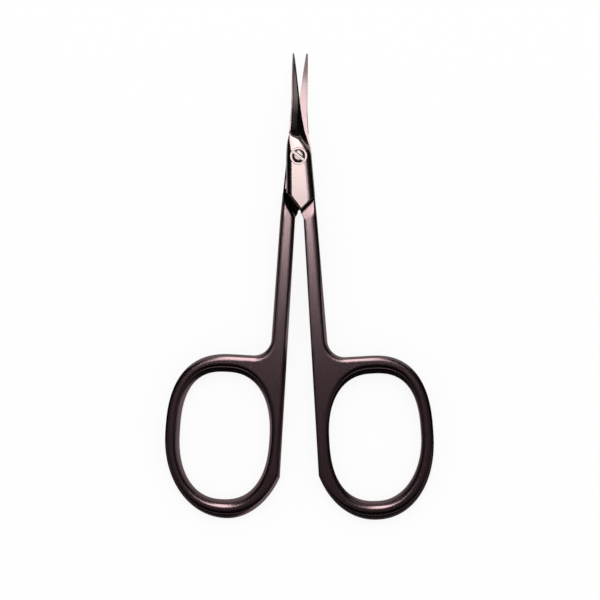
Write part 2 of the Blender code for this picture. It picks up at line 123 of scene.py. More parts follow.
def smoothly(value, start, end):
    # 0 before start, 1 after end, with a cubic step between.
    t = np.clip((value - start) / (end - start), 0, 1)
    return t * t * (3 - 2 * t)


def throughShares(shares, at):
    # A smooth curve through given pairs: cubic pieces with slopes from the neighbours.
    places, values = np.array(shares).T
    slopes = np.gradient(values, places)
    i = np.clip(np.searchsorted(places, at, side="right") - 1, 0, len(places) - 2)
    width = places[i + 1] - places[i]
    t = np.clip((at - places[i]) / width, 0, 1)
    return (
        (2 * t**3 - 3 * t**2 + 1) * values[i] + (t**3 - 2 * t**2 + t) * width * slopes[i]
        + (3 * t**2 - 2 * t**3) * values[i + 1] + (t**3 - t**2) * width * slopes[i + 1]
    )


def sweptCutter(name, start, end, section, over):
    # A section of (outward, height) pairs carried along a level line and past its ends.
    start, end, section = np.array(start), np.array(end), np.array(section)
    way = (end - start) / np.linalg.norm(end - start)
    out = np.array([way[1], -way[0]])
    ends = np.stack([start - way * over, end + way * over])
    flat = ends[:, None, :] + section[None, :, :1] * out
    heights = np.broadcast_to(section[None, :, 1:], flat.shape[:2] + (1,))
    return loftMesh(name, np.concatenate([flat, heights], axis=2))


def uprightPrism(name, outline, low, high):
    # A level outline carried straight up from low to high.
    outline = np.array(outline)
    layers = [np.column_stack([outline, np.full(len(outline), z)]) for z in (low, high)]
    return loftMesh(name, np.stack(layers))


def along(a, b, distance):
    # The point a distance past b on the line from a.
    a, b = np.array(a), np.array(b)
    return b + (b - a) / np.linalg.norm(b - a) * distance


def inwardMitre(loop):
    # Where each corner goes for each metre that the loop moves to its left.
    ahead = np.roll(loop, -1, axis=0) - loop
    ahead /= np.linalg.norm(ahead, axis=1)[:, None]
    normal = np.stack([-ahead[:, 1], ahead[:, 0]], axis=1)
    before = np.roll(normal, 1, axis=0)
    return (normal + before) / (1 + (normal * before).sum(axis=1))[:, None]


# The blade and its half of the joint. 1 is the front arm, -1 the rear one.
blade = {
    "length": 20.2 * mm,
    "bowRadius": 55 * mm,
    "bowStart": 1.0 * mm,
    "lean": {1: 0.26 * mm, -1: 0.38 * mm},
    "spineSide": {1: 2.56 * mm, -1: 2.42 * mm},
    "edgeSide": 2.38 * mm,
    "heelEdgeSide": {1: 2.6 * mm, -1: 2.75 * mm},
    "heelSpineSide": {1: 2.95 * mm, -1: 2.42 * mm},
    "spineRound": 1.1 * mm,
    "spineRoundPower": 2.2,
    # The plate's edge side falls a little as a parabola, then as a quarter superellipse
    "edgeRound": 1.55 * mm,
    "edgeRoundPower": 3.5,
    "edgeFallShare": 0.11,
    "edgeWall": 0.7 * mm,
    "innerChamfer": 0.3 * mm,
    "chamferRise": 0.7,
    "tipThickness": 0.24 * mm,
    "cuttingLand": 0.05 * mm,
    "bladeSpineRound": 0.07 * mm,
    # The arcs between the blade's faces, and the share of their size that is left at the tip
    "softCorner": 0.1 * mm,
    "softCornerAtTip": 0.25,
    "grindStep": 0.25 * mm,
    "grindRamp": 0.17 * mm,
    "grindLow": 0.9 * mm,
    "grindMiddle": 3.2 * mm,
    "grindHigh": 5.15 * mm,
    "grindFade": 1 * mm,
    # The ground face's slope at the blade's root and beyond its middle
    "groundSlopes": (0.37, 0.24),
    "groundTwist": (4 * mm, 17 * mm),
    "edgeSlope": 0.84,
    "breakHeightShare": 0.71,
    # Sections from the drawn end up to the pivot, then to the tip, closer at the root by a power
    "drawnFrom": -13 * mm,
    "plateStations": 60,
    "bladeStations": 220,
    "stationPower": 1.1,
    "cornerSteps": 6,
    "spineSteps": 12,
    # Half width, as shares of the length and of the plate's half width
    "widthShares": (
        (0.0, 1.0), (0.058, 0.945), (0.116, 0.855), (0.174, 0.74), (0.232, 0.602), (0.29, 0.525),
        (0.39, 0.41), (0.54, 0.303), (0.69, 0.222), (0.84, 0.143), (0.945, 0.075), (1.0, 0.03),
    ),
    # Where the cutting bevel breaks from the ground face, as shares of the length and of the width
    "breakShares": (
        (0.0, 0.15), (0.15, 0.36), (0.28, 0.47), (0.36, 0.46), (0.44, 0.3), (0.52, 0.22),
        (0.7, 0.2), (1.0, 0.2),
    ),
    # Where the flat top ends, as shares of the grind's height and of the plate's half width
    "grindShares": (
        (0.0, 0.31), (0.1, 0.4), (0.17, 0.46), (0.24, 0.44), (0.32, 0.33), (0.47, 0.15),
        (0.63, -0.09), (0.73, -0.48), (0.88, -0.7), (1.0, -0.74),
    ),
}

# The plate's pointed heel, and the shoulder that meets the other arm's heel
heel = {
    "spineCorner": {side: (-blade["spineSide"][side], -7.35 * mm) for side in (1, -1)},
    "point": (-0.42 * mm, -10.6 * mm),
    "edgeCorner": {side: (blade["heelEdgeSide"][side], -7.9 * mm) for side in (1, -1)},
    "neck": (-0.36 * mm, -11.0 * mm),
    "root": (0.1 * mm, -11.95 * mm),
    "shoulderGap": 0.14 * mm,
    # The blade piece makes the plate: the handle's room for it ends this far below the pivot, and
    # the handle stays this far off the plate's inner face
    "plateAbove": 2 * mm,
    "floorDrop": 0.02 * mm,
    # Width and depth of the shoulder's round, of the relief beside it, and of the rounds along the
    # heel's two slanting edges
    "shoulderRound": (0.8 * mm, 0.7 * mm),
    "relief": (1.3 * mm, 0.48 * mm),
    "spineSideRound": (0.5 * mm, 0.42 * mm),
    "edgeSideRound": (0.3 * mm, 0.3 * mm),
    "roundSteps": 15,
    # How far each of their cutters passes its ends
    "shoulderPast": 1.5 * mm,
    "reliefPast": 0.7 * mm,
    "roundPast": 0.02 * mm,
    # How far the trim goes, and the pocket to the side and up from the pivot
    "reach": 8 * mm,
    "pocketReach": (11 * mm, 1 * mm),
}


def softened(corners, radius, steps):
    # A line through corner columns, each inner corner replaced by a small arc: the two points at
    # the radius (or 45 % of the shorter leg) from it, and a parabola between them.
    columns = [corners[0]]
    for before, corner, after in zip(corners, corners[1:], corners[2:]):
        legs = [np.linalg.norm(end - corner, axis=1) + 1e-9 for end in (before, after)]
        reach = np.minimum(radius, 0.45 * np.minimum(*legs))
        start = corner + (before - corner) * (reach / legs[0])[:, None]
        end = corner + (after - corner) * (reach / legs[1])[:, None]
        for t in np.linspace(0, 1, steps):
            columns.append(start * (1 - t) ** 2 + corner * 2 * t * (1 - t) + end * t**2)
    return np.stack(columns + [corners[-1]], axis=1)


def bladeSections(side):
    # Sections along the blade. Each is the flat inner face, the cutting edge's land and ground
    # faces, the flat top and the rounded spine, bent along Y on a circle of the bow's radius.
    b = blade
    depth = joint["thickness"] - joint["plateBottom"]
    y = np.concatenate([
        np.linspace(b["drawnFrom"], 0, b["plateStations"])[:-1],
        b["length"] * np.linspace(0, 1, b["bladeStations"]) ** b["stationPower"],
    ])
    up = np.maximum(y, 0)
    share = throughShares(b["widthShares"], up / b["length"])
    down = np.clip(y / heel["spineCorner"][side][1], 0, 1)
    edgeSide = b["edgeSide"] + (b["heelEdgeSide"][side] - b["edgeSide"]) * down
    backInLine = joint["pivotOffset"] * smoothly(y, 0, b["grindMiddle"])
    lean = side * (b["lean"][side] * up / b["length"] - backInLine)
    spineSide = b["spineSide"][side] + (b["heelSpineSide"][side] - b["spineSide"][side]) * down
    spine, edge = lean - spineSide * share, lean + edgeSide * share
    width = edge - spine
    broken = throughShares(b["breakShares"], up / b["length"])
    rootSlope, farSlope = b["groundSlopes"]
    groundSlope = rootSlope + (farSlope - rootSlope) * smoothly(y, *b["groundTwist"])
    edgeFall, groundFall = b["edgeSlope"] * broken * width, groundSlope * (1 - broken) * width
    thickness = np.clip(b["cuttingLand"] + edgeFall + groundFall, b["tipThickness"], depth)
    toBlade = smoothly(y, 0, b["grindHigh"])
    wall = b["edgeWall"] + (b["cuttingLand"] - b["edgeWall"]) * toBlade
    roundOff = b["spineRound"] + (b["bladeSpineRound"] - b["spineRound"]) * toBlade
    roundWide, roundDeep = np.minimum(roundOff, width / 4), np.minimum(roundOff, thickness / 2)
    thickShare = (thickness - b["tipThickness"]) / (depth - b["tipThickness"])
    ground = thickness - b["grindStep"] * smoothly(y, b["grindLow"], b["grindMiddle"]) * thickShare
    thickness -= (thickness - ground) * smoothly(
        y, b["grindHigh"] - b["grindFade"], b["grindHigh"]
    )
    breakX = edge - broken * width
    breakZ = wall + (thickness - wall) * b["breakHeightShare"]
    breakZ += (ground - groundSlope * (breakX - spine - roundWide) - breakZ) * toBlade
    line = np.where(
        y <= 0, edge - b["edgeRound"],
        b["edgeSide"] * throughShares(b["grindShares"], np.clip(y / b["grindHigh"], 0, 1)),
    )
    flatEnd = np.maximum(np.minimum(line, breakX - b["grindRamp"] * thickShare), spine + roundWide)
    rampEnd = flatEnd + np.minimum(b["grindRamp"] * toBlade, (breakX - flatEnd) / 2)
    slope = (rampEnd - spine) / (breakX - spine)
    rampZ = np.minimum(ground + (breakZ - ground) * slope, thickness)
    # The edge side runs from the land to the flat: a soft round on the plate, ground faces on the
    # blade, mixed along the grind
    corners = (
        (edge, wall), (breakX, breakZ), (rampEnd, rampZ), (flatEnd, thickness),
        (flatEnd - 2 * b["softCorner"], thickness),
    )
    soft = b["softCorner"] * (b["softCornerAtTip"] + (1 - b["softCornerAtTip"]) * thickShare)
    facets = softened([np.stack(pair, axis=1) for pair in corners], soft, b["cornerSteps"])
    t = np.linspace(0, 1, facets.shape[1])
    power = 2 / b["edgeRoundPower"]
    across, over = np.cos(t * np.pi / 2) ** power, np.sin(t * np.pi / 2) ** power
    plateX = flatEnd[:, None] + (edge - flatEnd)[:, None] * across
    over = 1 - b["edgeFallShare"] * across**2 - (1 - b["edgeFallShare"]) * (1 - over)
    plateZ = wall[:, None] + (thickness - wall)[:, None] * over
    mix = toBlade[:, None]
    edgeX = plateX + (facets[..., 0] - plateX) * mix
    edgeZ = plateZ + (facets[..., 1] - plateZ) * mix
    t = np.linspace(0, np.pi / 2, b["spineSteps"])
    power = 2 / b["spineRoundPower"]
    spineX = spine[:, None] + roundWide[:, None] * (1 - np.sin(t) ** power)
    spineZ = (thickness - roundDeep)[:, None] + roundDeep[:, None] * np.cos(t) ** power
    chamfer = b["innerChamfer"] * (1 - toBlade)
    x = np.column_stack([edge - chamfer, edge, edgeX, spineX, spine])
    chamferTop = np.maximum(chamfer * b["chamferRise"], b["cuttingLand"] / 2)
    z = np.column_stack([chamfer * 0, chamferTop, edgeZ, spineZ, spine * 0])
    bent = np.maximum(y - b["bowStart"], 0)
    bow = b["bowRadius"] - np.sqrt(b["bowRadius"] ** 2 - bent**2)
    z = z + joint["plateBottom"] - side * bow[:, None]
    return np.stack([x, np.broadcast_to(y[:, None], x.shape), z], axis=2)


def roundSection(wide, deep, face):
    # Section of a cutter that rounds an edge: a quarter ellipse from the wall, at 0 and a depth
    # below the face, up to the face at a width inside the wall.
    past = joint["cutPast"]
    t = np.linspace(0, np.pi / 2, heel["roundSteps"])
    arc = np.column_stack([-wide * (1 - np.cos(t)), face - deep * (1 - np.sin(t))])
    return [(past, face + past), (past, face - deep)] + arc.tolist() + [(-wide, face + past)]


def heelCutters(side):
    # Trims the plate to its point, rounds both of its slanting edges and grinds its relief.
    top, reach = joint["thickness"], heel["reach"]
    start, point, far = heel["spineCorner"][side], heel["point"], heel["edgeCorner"][side]
    outside, past = along(point, start, reach), along(point, far, reach)
    low = -2 * reach
    trim = [outside, start, point, past, (past[0], low), (outside[0], low)]
    rounds = [
        sweptCutter(name, *ends, roundSection(*heel[name], top), heel["roundPast"])
        for name, ends in (("spineSideRound", (start, point)), ("edgeSideRound", (point, far)))
    ]
    return [uprightPrism("heelTrim", trim, 0, top + reach), *rounds, reliefCutter(side)]


def pocketOutline(side):
    # Room for the other arm's plate and neck, with the shoulder's gap round them.
    start, point, neck, root = heel["spineCorner"][-side], heel["point"], heel["neck"], heel["root"]
    outside = along(point, start, heel["reach"])
    wide, up = heel["pocketReach"]
    pocket = np.array([outside, start, neck, root, (wide, root[1]), (wide, up), (outside[0], up)])
    return (pocket - inwardMitre(pocket) * heel["shoulderGap"]) * np.array([-1, 1])


def reliefCutter(side):
    # A shallow ground relief along the shoulder's foot, deepest at the wall.
    wide, deep = heel["relief"]
    floor, pocket = joint["plateBottom"], pocketOutline(side)
    low = floor - joint["cutPast"]
    section = [(0, low), (0, floor + deep), (-wide, floor), (-wide, low)]
    return sweptCutter("relief", pocket[2], pocket[1], section, heel["reliefPast"])


# The screw, and the turned recess that it sits in
screw = {
    "head": 1.25 * mm,
    "headDepth": 0.75 * mm,
    "proud": 0.09 * mm,
    "dome": 0.07 * mm,
    "domePower": 8,
    "rimRound": 0.14 * mm,
    "shoulder": 0.95 * mm,
    "thread": 0.8 * mm,
    "pitch": 0.35 * mm,
    "threadHeight": 0.12 * mm,
    "runout": 0.3 * mm,
    "slotWidth": 0.5 * mm,
    "slotDepth": 0.35 * mm,
    # How wide the slot's lower and upper lips are broken, and how steeply
    "slotLips": (0.07 * mm, 0.15 * mm),
    "lipRise": 0.65,
    "slotPast": 0.5 * mm,
    "slotAngle": math.radians(-38.4),
    "gap": 0.06 * mm,
    # The turned land round the head, its broken inner edge, and how far its cutter flares above it
    "landWidth": 0.3 * mm,
    "landDepth": 0.08 * mm,
    "landBroken": 0.03 * mm,
    "landFlare": 0.5 * mm,
    "around": 128,
    "threadSteps": 60,
    "rimSteps": 10,
    # Rings across the dome, the last at this share of its radius
    "domeSteps": 30,
    "domeMiddle": 0.02,
}


def turnedMesh(name, profile):
    # Pairs of radius and height turned round the pivot.
    angles = np.linspace(0, 2 * math.pi, screw["around"], endpoint=False)
    profile = np.array(profile)
    x = profile[:, :1] * np.cos(angles)
    y = profile[:, :1] * np.sin(angles)
    z = np.broadcast_to(profile[:, 1:], x.shape)
    return loftMesh(name, np.stack([x, y, z], axis=2))


def recessCutter(side):
    # The front plate's running hole, head recess and turned land. The rear one has the thread's.
    s, top = screw, joint["thickness"]
    if side < 0:
        hole = s["thread"] + s["gap"]
        cutter = turnedMesh("threadHole", [(hole, 0), (hole, top + joint["cutPast"])])
    else:
        hole, recess = s["shoulder"] + s["gap"], s["head"] + s["gap"]
        seat, land = top - s["headDepth"] - s["gap"], top - s["landDepth"]
        out, broken, flare = recess + s["landWidth"], s["landBroken"], s["landFlare"]
        profile = [
            (hole, 0), (hole, seat), (recess, seat), (recess, land - broken),
            (recess + broken, land), (out, land), (out + flare, land + flare),
        ]
        cutter = turnedMesh("headRecess", profile)
    cutter.transform(Matrix.Translation((-side * joint["pivotOffset"], 0, 0)))
    return cutter


def dressArm(piece, side, node, material):
    # Puts a drawn piece in its rest place, smooths it up to its creases, and ties it to its arm.
    mesh = piece.data
    count = len(mesh.vertices)
    points = np.empty(count * 3)
    mesh.vertices.foreach_get("co", points)
    mesh.vertices.foreach_set("co", toRest(points.reshape(-1, 3), side).ravel())
    mesh.update()
    mesh.name = piece.name
    mesh.shade_smooth()
    mesh.set_sharp_from_angle(angle=joint["sharpAbove"])
    # A level face keeps its own shading beside a round: an edge with one level side is a crease
    normals, sizes = np.empty(len(mesh.polygons) * 3), np.empty(len(mesh.polygons), np.int32)
    edges, sharp = np.empty(len(mesh.loops), np.int32), np.empty(len(mesh.edges), bool)
    mesh.polygons.foreach_get("normal", normals)
    mesh.polygons.foreach_get("loop_total", sizes)
    mesh.loops.foreach_get("edge_index", edges)
    mesh.edges.foreach_get("use_edge_sharp", sharp)
    level = np.repeat(np.abs(normals[2::3]) > joint["levelAbove"], sizes)
    mesh.edges.foreach_set("use_edge_sharp", sharp | (np.bincount(edges, level, len(sharp)) == 1))
    piece.modifiers.new("evenShading", "WEIGHTED_NORMAL").keep_sharp = True
    mesh.materials.clear()
    mesh.materials.append(material)
    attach(piece, node)
    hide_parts(node)
    print("piece made:", piece.name, count, "points")


# The shank and the finger ring, one slab with crowned faces. Where a value differs, 1 is the front
# arm's and -1 the rear one's.
handle = {
    "innerEdge": 0.1 * mm,
    "shankRootWidth": {1: 2.6 * mm, -1: 2.87 * mm},
    "shankEndWidth": 3.18 * mm,
    "rootThickness": 3.06 * mm,
    "endThickness": 2.85 * mm,
    "holeCentre": 54.95 * mm,
    "holeHalfWidth": {1: 8.88 * mm, -1: 8.68 * mm},
    "holeHalfHeight": 12.32 * mm,
    "innerWall": 2.46 * mm,
    "outerWall": {1: 2.4 * mm, -1: 2.79 * mm},
    "topWall": 3.48 * mm,
    "bottomWall": 3.61 * mm,
    "ringMiddleShift": {1: 0.34 * mm, -1: 1.04 * mm},
    "ringOverhang": {1: 1.0 * mm, -1: 1.35 * mm},
    "ringFillet": 3.4 * mm,
    "ringDrop": {1: 0.18 * mm, -1: -0.18 * mm},
    # Powers of the ovals by quarter: 2 is an ellipse, more is squarer
    "holePowers": {
        1: {"outerUpper": 2.7, "innerUpper": 2.32, "innerLower": 2.52, "outerLower": 2.05},
        -1: {"outerUpper": 2.7, "innerUpper": 2.32, "innerLower": 2.42, "outerLower": 2.24},
    },
    "ringPowers": {
        1: {"innerLower": 2.08, "outerLower": 2.15, "outerUpper": 2.57},
        -1: {"innerLower": 1.98, "outerLower": 2.06, "outerUpper": 2.57},
    },
    # The slab goes on under the plate as a tongue, where its thickness goes on changing by at most
    # this share of its whole change
    "tongueTop": 7.0 * mm,
    "tongueInset": 0.2 * mm,
    "tongueShare": 0.1,
    "quarterSteps": 72,
    "straightSteps": 90,
    # Where the ring's rims become the shank's foot's, and these the root's, along Y
    "shankEnds": (-41 * mm, -35 * mm),
    "footToRoot": (-32 * mm, -17 * mm),
}

# How each rim falls from the crown: widths in mm of the crown's part, the turn and the rim, the
# tilt in degrees at the crown's end and on the rim, and the crown's power, for rims that face
# right, up, left and down
rims = {
    "root": {
        1: ((1.0, 0.3, 0.2, 5, 45, 1.2),) * 2 + ((0.6, 0.13, 0.04, 5, 45, 1.2),) * 2,
        -1: ((0.68, 0.2, 0.27, 5, 47, 1.2),) * 2 + ((0.55, 0.2, 0.35, 5, 62, 1.2),) * 2,
    },
    "foot": {
        1: ((0.5, 0.3, 0.5, 4.5, 49, 1.2),) * 2 + ((0.4, 0.13, 0.04, 4, 45, 1.2),) * 2,
        -1: ((0.7, 0.2, 0.35, 3.5, 47.5, 1.2),) * 2 + ((0.45, 0.15, 0.48, 4, 62, 1.2),) * 2,
    },
    "ring": {
        1: ((0.7, 0.4, 0.15, 8, 43, 1.2), (0.8, 0.06, 0.38, 18, 50, 2.6),
            (0.45, 0.2, 0.04, 6, 43, 1.2), (0.77, 0.1, 0.85, 22, 40, 1)),
        -1: ((0.6, 0.4, 0.06, 6, 43, 1.2), (0.9, 0.06, 0.5, 18, 50, 2.1),
             (0.5, 0.2, 0.42, 8, 54, 1.2), (0.75, 0.08, 0.8, 22, 40, 1)),
    },
    "hole": {
        1: ((0.6, 0.25, 0.3, 5, 45, 1.2), (0.9, 0.05, 0.95, 18, 50, 1.75),
            (0.7, 0.15, 0.4, 16, 50, 1.3), (0.75, 0.3, 0.87, 22, 40, 1)),
        -1: ((0.65, 0.15, 0.45, 15, 51, 1.3), (0.97, 0.05, 0.95, 19, 50, 1.75),
             (0.45, 0.25, 1.05, 10, 51, 1.2), (0.64, 0.3, 0.8, 22, 40, 1)),
    },
    # How far the rim's tilt lies below and above its middle at its two sides, in degrees
    "rimCurve": 2.5,
    # The least wall between the front and the back, and the least crown between two rims
    "wallLeft": 0.06 * mm,
    "tableGap": 0.1 * mm,
    # A level strip inside each crown line keeps the shading even there
    "crownStrip": 0.03 * mm,
    # How many steps across the crown's part, the turn and the rim
    "steps": (8, 6, 6),
}


def ovalQuarter(centre, half, power, start, end):
    # Superellipse: cosine and sine raised to 2 over the power, times the half sizes.
    turned = np.radians(np.linspace(start, end, handle["quarterSteps"] + 1))
    c, s = np.cos(turned), np.sin(turned)
    x = centre[0] + half[0] * np.sign(c) * np.abs(c) ** (2 / power)
    y = centre[1] + half[1] * np.sign(s) * np.abs(s) ** (2 / power)
    return np.column_stack([x, y])


def handleLoops(side):
    # The outer loop, round the shank and ring from the neck, and the finger hole's loop.
    h = handle
    holeHalf = (h["holeHalfWidth"][side], h["holeHalfHeight"])
    hole = (h["innerEdge"] + h["innerWall"] + holeHalf[0], -h["holeCentre"] - h["ringDrop"][side])
    right = hole[0] + holeHalf[0] + h["outerWall"][side]
    top = hole[1] + holeHalf[1] + h["topWall"]
    bottom = hole[1] - holeHalf[1] - h["bottomWall"]
    centre = (hole[0] - h["ringMiddleShift"][side], (top + bottom) / 2)
    inward, outward = centre[0] - h["innerEdge"] + h["ringOverhang"][side], right - centre[0]
    tall = (top - bottom) / 2
    powers = h["ringPowers"][side]
    power = powers["innerLower"]
    meeting = 180 + math.degrees(math.acos(((centre[0] - h["innerEdge"]) / inward) ** (power / 2)))
    lower = ovalQuarter(centre, (inward, tall), power, meeting, 270)
    root, neck = heel["root"], heel["neck"]
    straightY = np.linspace(root[1], lower[0, 1], h["straightSteps"] + 1)[:-1]
    outerRoot = h["innerEdge"] + h["shankRootWidth"][side]
    outerEnd = h["innerEdge"] + h["shankEndWidth"]
    filletX, filletY = outerEnd + h["ringFillet"], top + h["ringFillet"]
    turned = np.radians(np.linspace(270, 180, h["quarterSteps"] // 2 + 1))
    fillet = np.column_stack(
        [filletX + h["ringFillet"] * np.cos(turned), filletY + h["ringFillet"] * np.sin(turned)]
    )
    t = np.linspace(0, 1, h["straightSteps"] // 2 + 1)[1:]
    outerY = filletY * (1 - t) + root[1] * t
    outer = np.column_stack([outerEnd + (outerRoot - outerEnd) * t, outerY])
    tongueEnd = -h["tongueTop"]
    tongue = np.array([(outerRoot - h["tongueInset"], tongueEnd), (neck[0], tongueEnd)])
    outerLoop = np.concatenate([
        np.array([neck]),
        np.column_stack([np.full(len(straightY), h["innerEdge"]), straightY]),
        lower[:-1],
        ovalQuarter(centre, (outward, tall), powers["outerLower"], 270, 360)[:-1],
        ovalQuarter(centre, (outward, tall), powers["outerUpper"], 0, 90),
        fillet,
        outer,
        tongue,
    ])
    quarters = (("outerUpper", 0), ("innerUpper", 90), ("innerLower", 180), ("outerLower", 270))
    powers = h["holePowers"][side]
    holeLoop = np.concatenate(
        [ovalQuarter(hole, holeHalf, powers[name], a, a + 90)[:-1] for name, a in quarters]
    )
    return outerLoop, holeLoop[::-1]


def halfThickness(y):
    # Half the slab's thickness, which changes evenly from the neck to the ring's far end.
    h = handle
    end = h["holeCentre"] + h["holeHalfHeight"] + h["bottomWall"]
    t = np.clip((-y + heel["root"][1]) / (end + heel["root"][1]), -h["tongueShare"], 1)
    return (h["rootThickness"] + (h["endThickness"] - h["rootThickness"]) * t) / 2


def rimForms(loop, forms):
    # The forms for right, up, left and down, mixed by the squares of the outward direction's parts.
    out = -inwardMitre(loop)
    out /= np.linalg.norm(out, axis=1)[:, None]
    weights = np.maximum(np.column_stack([out, -out]), 0) ** 2
    return weights @ np.array(forms)


def crownedRims(side):
    # Each loop with its forms, narrowed where two rims would meet across a wall.
    loops = handleLoops(side)
    outer, hole = loops
    ring, foot, root = (rimForms(outer, rims[name][side]) for name in ("ring", "foot", "root"))
    shank = foot + (root - foot) * smoothly(outer[:, 1], *handle["footToRoot"])[:, None]
    forms = [ring + (shank - ring) * smoothly(outer[:, 1], *handle["shankEnds"])[:, None]]
    forms.append(rimForms(hole, rims["hole"][side]))
    widths = [form[:, :3].sum(axis=1) * mm for form in forms]
    apart = np.linalg.norm(outer[:, None] - hole[None], axis=2)
    pairs = ((forms[0], *widths, apart), (forms[1], *widths[::-1], apart.T))
    for form, mine, others, gaps in pairs:
        wall = gaps.min(axis=1) - rims["tableGap"]
        form[:, :3] *= np.minimum(1, wall / (mine + others[gaps.argmin(axis=1)]))[:, None]
    return zip(loops, forms)


def fallBelowCrown(form):
    # Distances out from the crown and falls below it. The tilt grows by a power over the crown's
    # part, turns smoothly to the rim's, and steepens a little to the edge. The fall sums the tilt's
    # tangent.
    parts = [np.linspace(0, 1, count + 1)[1:] for count in rims["steps"]]
    stops = np.concatenate([[0]] + [part + i for i, part in enumerate(parts)])[:, None]
    crown, turn, rim = (np.clip(stops - i, 0, 1) for i in range(3))
    widths, (crownTilt, rimTilt), power = form[:, :3].T * mm, np.radians(form[:, 3:5].T), form[:, 5]
    curve = math.radians(rims["rimCurve"])
    turned = (rimTilt - curve - crownTilt) * smoothly(turn, 0, 1)
    tilt = crownTilt * crown**power + turned + 2 * curve * rim
    out = crown * widths[0] + turn * widths[1] + rim * widths[2]
    slopes = np.tan(tilt)
    steps = np.diff(out, axis=0) * (slopes[1:] + slopes[:-1]) / 2
    return out, np.concatenate([steps[:1] * 0, np.cumsum(steps, axis=0)])


def handleMesh(side):
    # Each loop is carried in and up to the crown, front and back, and the crowns are filled across.
    middle, spare = joint["thickness"] / 2, rims["wallLeft"]
    points, faces, first = [], [], 0
    fronts, backs = [], []
    for loop, form in crownedRims(side):
        mitre = inwardMitre(loop)
        out, fall = fallBelowCrown(form)
        fall *= np.minimum(1, (halfThickness(loop[:, 1]) - spare) / fall[-1])
        steps = [(out[-1] + rims["crownStrip"], fall[0])]
        steps += list(zip(out[-1] - out, fall)) + [(out[0] * 0, fall[-1] + spare / 2)]
        rows = []
        for sign in (1, -1):
            for inward, drop in steps[::sign]:
                moved = loop + mitre * inward[:, None]
                height = halfThickness(moved[:, 1]) - drop
                rows.append(np.column_stack([moved, middle + sign * height]))
        around = len(loop)
        faces += gridFaces(len(rows), around, first)
        fronts.append(np.arange(first, first + around))
        backs.append(np.arange(first + (len(rows) - 1) * around, first + len(rows) * around))
        points += rows
        first += len(rows) * around
    points = np.concatenate(points)
    for loops in (fronts, backs):
        # The crown between the two loops, cut into triangles as seen from above
        seen = [(points[loop] * (1, 1, 0)).tolist() for loop in loops]
        faces += np.concatenate(loops)[np.array(tessellate_polygon(seen))].tolist()
    return makeMesh("handle", points, faces)


# The slanting groove between plate and shank
groove = {
    "floor": 2.2 * mm,
    "underPlate": 0.05 * mm,
    # Its section going down the shank from the plate's edge: distances and heights, then its foot,
    # from which a wedge takes a little off the crown and fades out by its slope
    "profile": ((0.0, 2.95 * mm), (0.34 * mm, 2.62 * mm), (0.46 * mm, 2.6 * mm)),
    "foot": 0.6 * mm,
    "wedgeDrop": 0.07 * mm,
    "wedgeSlope": 0.05,
    "plateRoom": 3 * mm,
    "past": 2 * mm,
}


def handleCutters(side):
    # The groove, the plate's room, the other arm's pocket, the shoulder's round and the relief.
    g, top = groove, joint["thickness"]
    high = top + joint["cutPast"]
    crown = top / 2 + halfThickness(heel["point"][1])
    foot = (g["foot"], crown - g["wedgeDrop"])
    floor, room = g["floor"], g["plateRoom"]
    section = [(-room, high), (-room, floor), (-g["underPlate"], floor), *g["profile"], foot]
    section.append((foot[0] + (high - foot[1]) / g["wedgeSlope"], high))
    point, far = heel["point"], heel["edgeCorner"][side]
    pocket = pocketOutline(side)
    # The blade piece alone fills the heel, so the handle makes room for it
    plate = [heel["spineCorner"][side], point, far]
    plate += [(far[0], -heel["plateAbove"]), (plate[0][0], -heel["plateAbove"])]
    plate = np.array(plate) + inwardMitre(np.array(plate)) * g["underPlate"]
    # The shoulder is rounded over as the shank's sides are
    back = top / 2 - halfThickness(heel["spineCorner"][side][1])
    rounding = [(-u, 2 * back - z) for u, z in roundSection(*heel["shoulderRound"], back)]
    return [
        sweptCutter("groove", point, far, section, g["past"]),
        uprightPrism("heelRoom", plate, floor + g["underPlate"], high),
        uprightPrism("pocket", pocket, -g["past"], joint["plateBottom"] + heel["floorDrop"]),
        sweptCutter("shoulderRound", pocket[2], pocket[1], rounding, heel["shoulderPast"]),
        reliefCutter(side),
    ]


def screwMesh():
    # Thread, shoulder and domed head in one turned grid. The thread's radius falls once a turn.
    s, top, plate = screw, joint["thickness"], joint["plateBottom"]
    angles = np.linspace(0, 2 * math.pi, s["around"], endpoint=False)
    threadTop = plate - joint["plateGap"] - s["runout"]
    z = np.linspace(0, threadTop, s["threadSteps"])
    turn = z[:, None] / s["pitch"] - angles[None, :] / (2 * math.pi)
    dip = np.abs(2 * (turn % 1) - 1)
    fade = np.minimum(1, np.minimum(z, threadTop - z) / s["runout"])[:, None]
    radius = s["thread"] - s["threadHeight"] * (1 - (1 - dip) * fade)
    neck, seat, rim = s["thread"] - s["threadHeight"], top - s["headDepth"], top + s["proud"]
    # The head's rim is a quarter circle, and its dome falls by a power of the share of its radius.
    t, bend = np.linspace(0, math.pi / 2, s["rimSteps"]), s["rimRound"]
    inner = s["head"] - bend
    profile = [(neck, plate), (s["shoulder"], plate), (s["shoulder"], seat), (s["head"], seat)]
    profile += list(zip(s["head"] - bend * (1 - np.cos(t)), rim - bend * (1 - np.sin(t))))
    k = np.linspace(1, s["domeMiddle"], s["domeSteps"])[1:]
    profile += list(zip(inner * k, rim + s["dome"] * (1 - k ** s["domePower"])))
    profile = np.array(profile)
    turnedPart = np.broadcast_to(profile[:, :1], (len(profile), len(angles)))
    radius = np.concatenate([radius, turnedPart])
    z = np.broadcast_to(np.concatenate([z, profile[:, 1]])[:, None], radius.shape)
    grid = np.stack([radius * np.cos(angles), radius * np.sin(angles), z], axis=2)
    return loftMesh("screw", grid)


